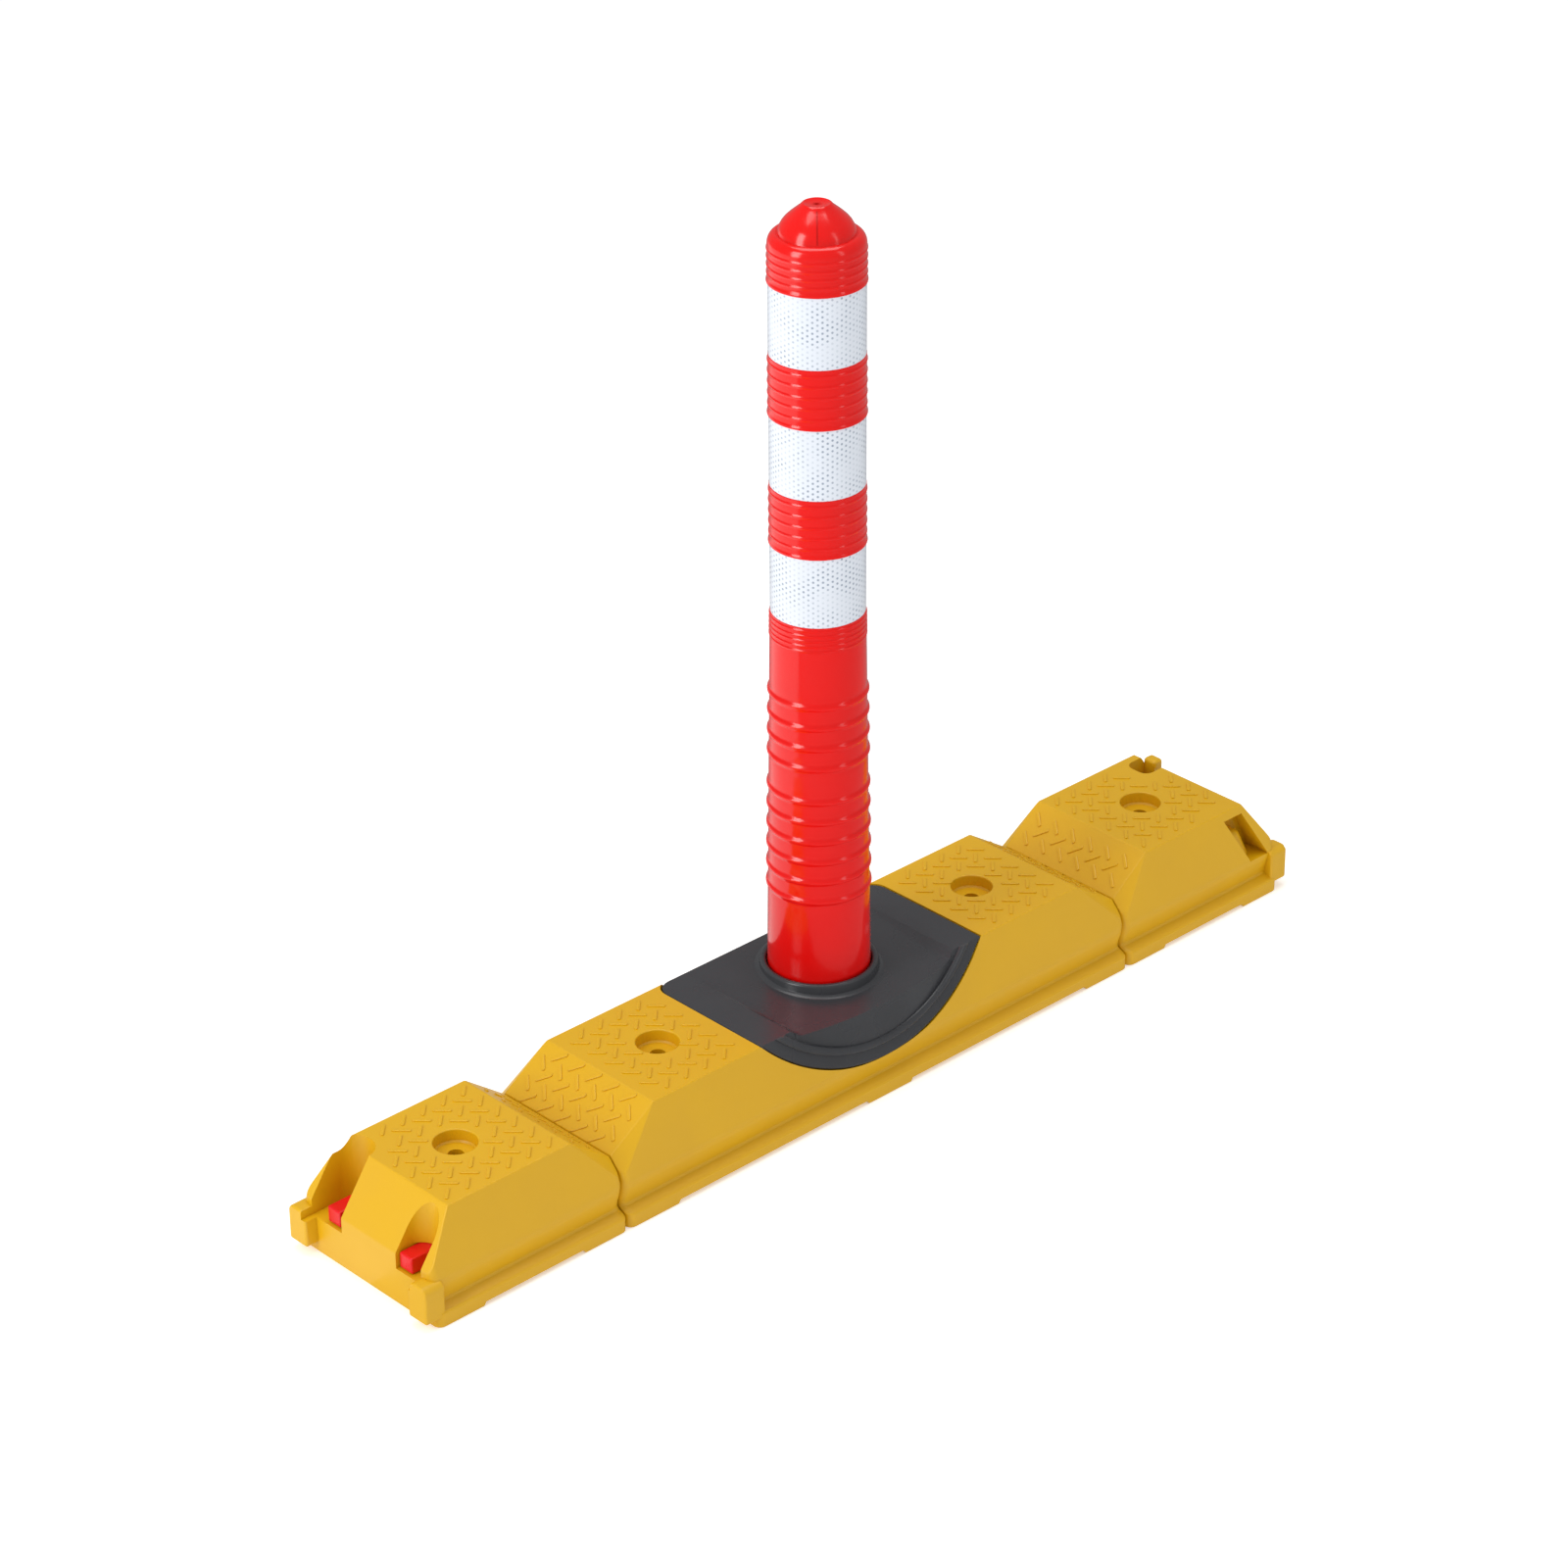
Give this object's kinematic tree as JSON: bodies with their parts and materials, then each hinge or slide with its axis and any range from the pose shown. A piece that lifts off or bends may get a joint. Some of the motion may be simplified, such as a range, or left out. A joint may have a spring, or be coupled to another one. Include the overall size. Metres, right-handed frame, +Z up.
{
  "type": "lane divider kerb with flexible delineator post",
  "caption": "Modular yellow lane divider kerb, bolted to the road, with a black foot plate and a flexible red delineator post with white reflective bands.",
  "frame": {"origin": "on the road surface, under the post's axis", "axes": "+X along the kerb from the module with the locking bars to the module with the pockets, +Y across it away from the apron, +Z up"},
  "size_m": [1.038, 0.178, 0.797],
  "materials": {
    "kerb_yellow": "moulded polyethylene, satin",
    "bar_red": "moulded polyethylene, satin",
    "plate_black": "moulded rubber-like plastic, semi-gloss",
    "post_red": "flexible polyurethane, gloss",
    "band_white": "prismatic reflective sheeting",
    "zinc_steel": "zinc plated",
    "insert_brass": "turned"
  },
  "bodies": {
    "kerb": {"start_kerb": "kerb_yellow", "middle_kerb": "kerb_yellow", "end_kerb": "kerb_yellow", "start_seam_bars": "bar_red", "end_seam_bars": "bar_red", "foot_plate": "plate_black", "threaded_inserts": "insert_brass", "clamp_ring": "zinc_steel", "clamp_washers": "zinc_steel", "clamp_bolts": "zinc_steel", "plate_washers": "zinc_steel", "plate_screws": "zinc_steel", "post_base": "post_red"},
    "post_middle": {"lower_bellows": "post_red", "post_waist": "post_red"},
    "post_top": {"upper_bellows": "post_red", "post_tube": "post_red", "post_cap": "post_red", "lower_band": "band_white", "middle_band": "band_white", "upper_band": "band_white"},
    "front_bar": {"front_lock_bar": "bar_red"},
    "rear_bar": {"rear_lock_bar": "bar_red"}
  },
  "joints": [
    {"name": "lean_along", "type": "hinge", "parent": "kerb", "child": "post_middle", "pos_m": [0, 0, 0.226], "axis": [0, 1, 0], "range_deg": [-80, 80], "stiffness_Nm_per_rad": 12, "deforming": ["lower_bellows"]},
    {"name": "lean_across", "type": "hinge", "parent": "post_middle", "child": "post_top", "pos_m": [0, 0, 0.3345], "axis": [1, 0, 0], "range_deg": [-45, 45], "stiffness_Nm_per_rad": 12, "deforming": ["upper_bellows"]},
    {"name": "front_bar_slide", "type": "slide", "parent": "kerb", "child": "front_bar", "axis": [-1, 0, 0], "range_m": [0, 0.028]},
    {"name": "rear_bar_slide", "type": "slide", "parent": "kerb", "child": "rear_bar", "axis": [-1, 0, 0], "range_m": [0, 0.028]}
  ]
}
